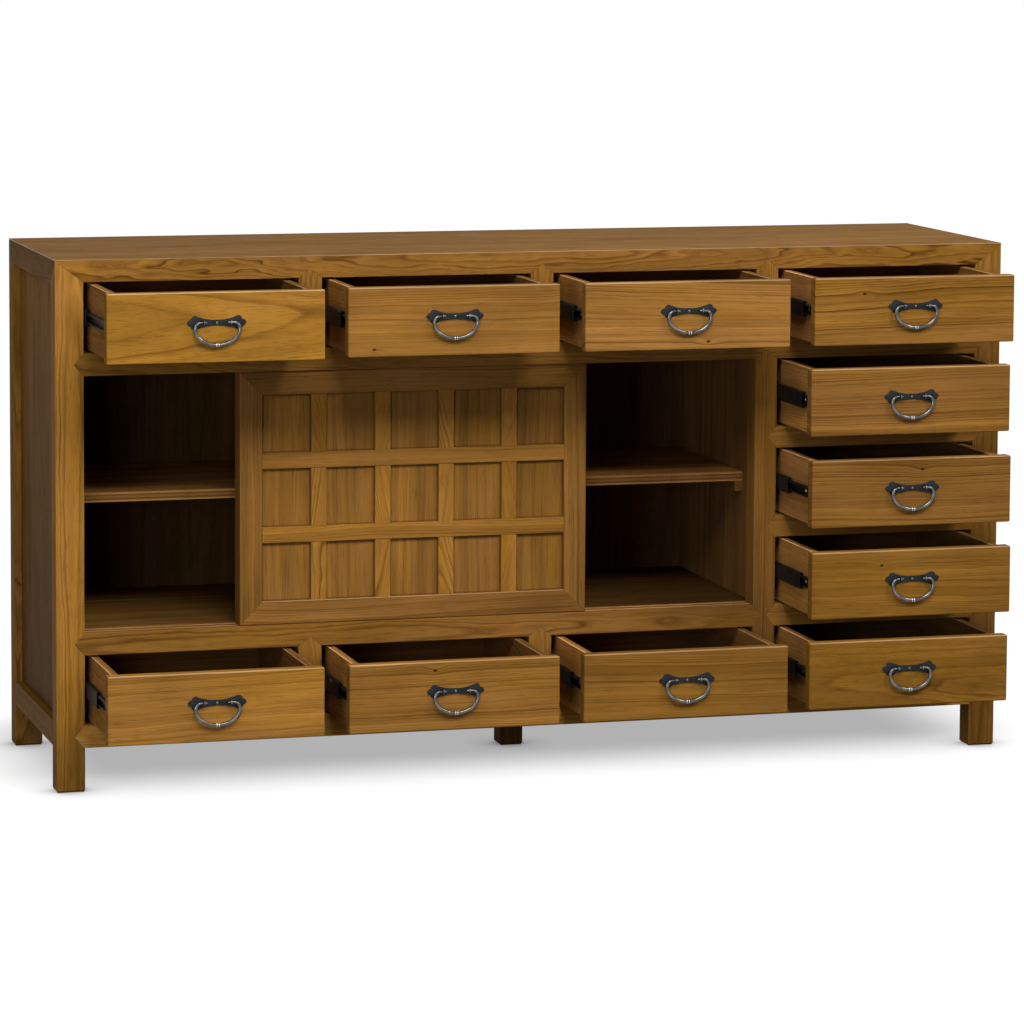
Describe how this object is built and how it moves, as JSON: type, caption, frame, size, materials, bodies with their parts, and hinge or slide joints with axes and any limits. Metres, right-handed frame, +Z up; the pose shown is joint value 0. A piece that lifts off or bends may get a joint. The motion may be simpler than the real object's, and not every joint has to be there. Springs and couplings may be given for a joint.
{
  "type": "tansu cabinet",
  "caption": "Low wide wooden chest on short square legs, with drawers on metal slides, bail handles, a shelf and two overlapping lattice doors that slide sideways.",
  "frame": {"origin": "on the floor at the centre of the case's plan, which is the middle of the centre foot's underside", "axes": "+X along the width, to the right as the front is looked at; +Y to the back, drawers open towards -Y; +Z up"},
  "size_m": [1.676, 0.6617, 0.892],
  "materials": {
    "oiled_elm": "satin oiled elm",
    "inner_elm": "plain inner board",
    "blackened_iron": "blackened iron, worn on the bails"
  },
  "bodies": {
    "case": {"post_front_left": "oiled_elm", "post_front_right": "oiled_elm", "post_back_left": "oiled_elm", "post_back_right": "oiled_elm", "top_panel": "oiled_elm", "rail_top_front": "oiled_elm", "rail_upper_front": "oiled_elm", "rail_lower_front": "oiled_elm", "rail_bottom_front": "oiled_elm", "column_rail_1": "oiled_elm", "column_rail_2": "oiled_elm", "column_rail_3": "oiled_elm", "main_stile": "oiled_elm", "divider_top_1": "oiled_elm", "divider_top_2": "oiled_elm", "divider_top_3": "oiled_elm", "divider_bottom_1": "oiled_elm", "divider_bottom_2": "oiled_elm", "side_left": "oiled_elm", "side_right": "oiled_elm", "back_panel": "inner_elm", "base_board": "inner_elm", "shelf": "inner_elm", "compartment_floor": "inner_elm", "compartment_ceiling": "inner_elm"},
    "drawer_top_left": {"drawer_top_left": "oiled_elm", "handle_plate_top_left": "blackened_iron"},
    "bail_top_left": {"handle_bail_top_left": "blackened_iron"},
    "drawer_top_middle": {"drawer_top_middle": "oiled_elm", "handle_plate_top_middle": "blackened_iron"},
    "bail_top_middle": {"handle_bail_top_middle": "blackened_iron"},
    "drawer_top_right": {"drawer_top_right": "oiled_elm", "handle_plate_top_right": "blackened_iron"},
    "bail_top_right": {"handle_bail_top_right": "blackened_iron"},
    "drawer_column_1": {"drawer_column_1": "oiled_elm", "handle_plate_column_1": "blackened_iron"},
    "bail_column_1": {"handle_bail_column_1": "blackened_iron"},
    "drawer_column_2": {"drawer_column_2": "oiled_elm", "handle_plate_column_2": "blackened_iron"},
    "bail_column_2": {"handle_bail_column_2": "blackened_iron"},
    "drawer_column_3": {"drawer_column_3": "oiled_elm", "handle_plate_column_3": "blackened_iron"},
    "bail_column_3": {"handle_bail_column_3": "blackened_iron"},
    "drawer_column_4": {"drawer_column_4": "oiled_elm", "handle_plate_column_4": "blackened_iron"},
    "bail_column_4": {"handle_bail_column_4": "blackened_iron"},
    "drawer_column_5": {"drawer_column_5": "oiled_elm", "handle_plate_column_5": "blackened_iron"},
    "bail_column_5": {"handle_bail_column_5": "blackened_iron"},
    "drawer_bottom_left": {"drawer_bottom_left": "oiled_elm", "handle_plate_bottom_left": "blackened_iron"},
    "bail_bottom_left": {"handle_bail_bottom_left": "blackened_iron"},
    "drawer_bottom_middle": {"drawer_bottom_middle": "oiled_elm", "handle_plate_bottom_middle": "blackened_iron"},
    "bail_bottom_middle": {"handle_bail_bottom_middle": "blackened_iron"},
    "drawer_bottom_right": {"drawer_bottom_right": "oiled_elm", "handle_plate_bottom_right": "blackened_iron"},
    "bail_bottom_right": {"handle_bail_bottom_right": "blackened_iron"},
    "door_front": {"door_front": "oiled_elm"},
    "door_rear": {"door_rear": "oiled_elm"}
  },
  "joints": [
    {"name": "slide_top_left", "type": "slide", "parent": "case", "child": "drawer_top_left", "axis": [0, -1, 0], "range_m": [-0.19512, 0.16488]},
    {"name": "bail_hinge_top_left", "type": "hinge", "parent": "drawer_top_left", "child": "bail_top_left", "pos_m": [-0.6075, -0.42982, 0.8035], "axis": [-1, 0, 0], "range_deg": [-5, 180]},
    {"name": "slide_top_middle", "type": "slide", "parent": "case", "child": "drawer_top_middle", "axis": [0, -1, 0], "range_m": [-0.17784, 0.18216]},
    {"name": "bail_hinge_top_middle", "type": "hinge", "parent": "drawer_top_middle", "child": "bail_top_middle", "pos_m": [-0.2025, -0.41254, 0.8035], "axis": [-1, 0, 0], "range_deg": [-5, 180]},
    {"name": "slide_top_right", "type": "slide", "parent": "case", "child": "drawer_top_right", "axis": [0, -1, 0], "range_m": [-0.18108, 0.17892]},
    {"name": "bail_hinge_top_right", "type": "hinge", "parent": "drawer_top_right", "child": "bail_top_right", "pos_m": [0.2025, -0.41578, 0.8035], "axis": [-1, 0, 0], "range_deg": [-5, 180]},
    {"name": "slide_column_1", "type": "slide", "parent": "case", "child": "drawer_column_1", "axis": [0, -1, 0], "range_m": [-0.18216, 0.17784]},
    {"name": "bail_hinge_column_1", "type": "hinge", "parent": "drawer_column_1", "child": "bail_column_1", "pos_m": [0.6075, -0.41686, 0.8035], "axis": [-1, 0, 0], "range_deg": [-5, 180]},
    {"name": "slide_column_2", "type": "slide", "parent": "case", "child": "drawer_column_2", "axis": [0, -1, 0], "range_m": [-0.16992, 0.19008]},
    {"name": "bail_hinge_column_2", "type": "hinge", "parent": "drawer_column_2", "child": "bail_column_2", "pos_m": [0.6075, -0.40462, 0.6475], "axis": [-1, 0, 0], "range_deg": [-5, 180]},
    {"name": "slide_column_3", "type": "slide", "parent": "case", "child": "drawer_column_3", "axis": [0, -1, 0], "range_m": [-0.17892, 0.18108]},
    {"name": "bail_hinge_column_3", "type": "hinge", "parent": "drawer_column_3", "child": "bail_column_3", "pos_m": [0.6075, -0.41362, 0.4915], "axis": [-1, 0, 0], "range_deg": [-5, 180]},
    {"name": "slide_column_4", "type": "slide", "parent": "case", "child": "drawer_column_4", "axis": [0, -1, 0], "range_m": [-0.18396, 0.17604]},
    {"name": "bail_hinge_column_4", "type": "hinge", "parent": "drawer_column_4", "child": "bail_column_4", "pos_m": [0.6075, -0.41866, 0.3355], "axis": [-1, 0, 0], "range_deg": [-5, 180]},
    {"name": "slide_column_5", "type": "slide", "parent": "case", "child": "drawer_column_5", "axis": [0, -1, 0], "range_m": [-0.17712, 0.18288]},
    {"name": "bail_hinge_column_5", "type": "hinge", "parent": "drawer_column_5", "child": "bail_column_5", "pos_m": [0.6075, -0.41182, 0.1795], "axis": [-1, 0, 0], "range_deg": [-5, 180]},
    {"name": "slide_bottom_left", "type": "slide", "parent": "case", "child": "drawer_bottom_left", "axis": [0, -1, 0], "range_m": [-0.19512, 0.16488]},
    {"name": "bail_hinge_bottom_left", "type": "hinge", "parent": "drawer_bottom_left", "child": "bail_bottom_left", "pos_m": [-0.6075, -0.42982, 0.1795], "axis": [-1, 0, 0], "range_deg": [-5, 180]},
    {"name": "slide_bottom_middle", "type": "slide", "parent": "case", "child": "drawer_bottom_middle", "axis": [0, -1, 0], "range_m": [-0.19116, 0.16884]},
    {"name": "bail_hinge_bottom_middle", "type": "hinge", "parent": "drawer_bottom_middle", "child": "bail_bottom_middle", "pos_m": [-0.2025, -0.42586, 0.1795], "axis": [-1, 0, 0], "range_deg": [-5, 180]},
    {"name": "slide_bottom_right", "type": "slide", "parent": "case", "child": "drawer_bottom_right", "axis": [0, -1, 0], "range_m": [-0.189, 0.171]},
    {"name": "bail_hinge_bottom_right", "type": "hinge", "parent": "drawer_bottom_right", "child": "bail_bottom_right", "pos_m": [0.2025, -0.4237, 0.1795], "axis": [-1, 0, 0], "range_deg": [-5, 180]},
    {"name": "door_front_slide", "type": "slide", "parent": "case", "child": "door_front", "axis": [1, 0, 0], "range_m": [-0.26442, 0.30308]},
    {"name": "door_rear_slide", "type": "slide", "parent": "case", "child": "door_rear", "axis": [1, 0, 0], "range_m": [-0.26442, 0.30308]}
  ]
}
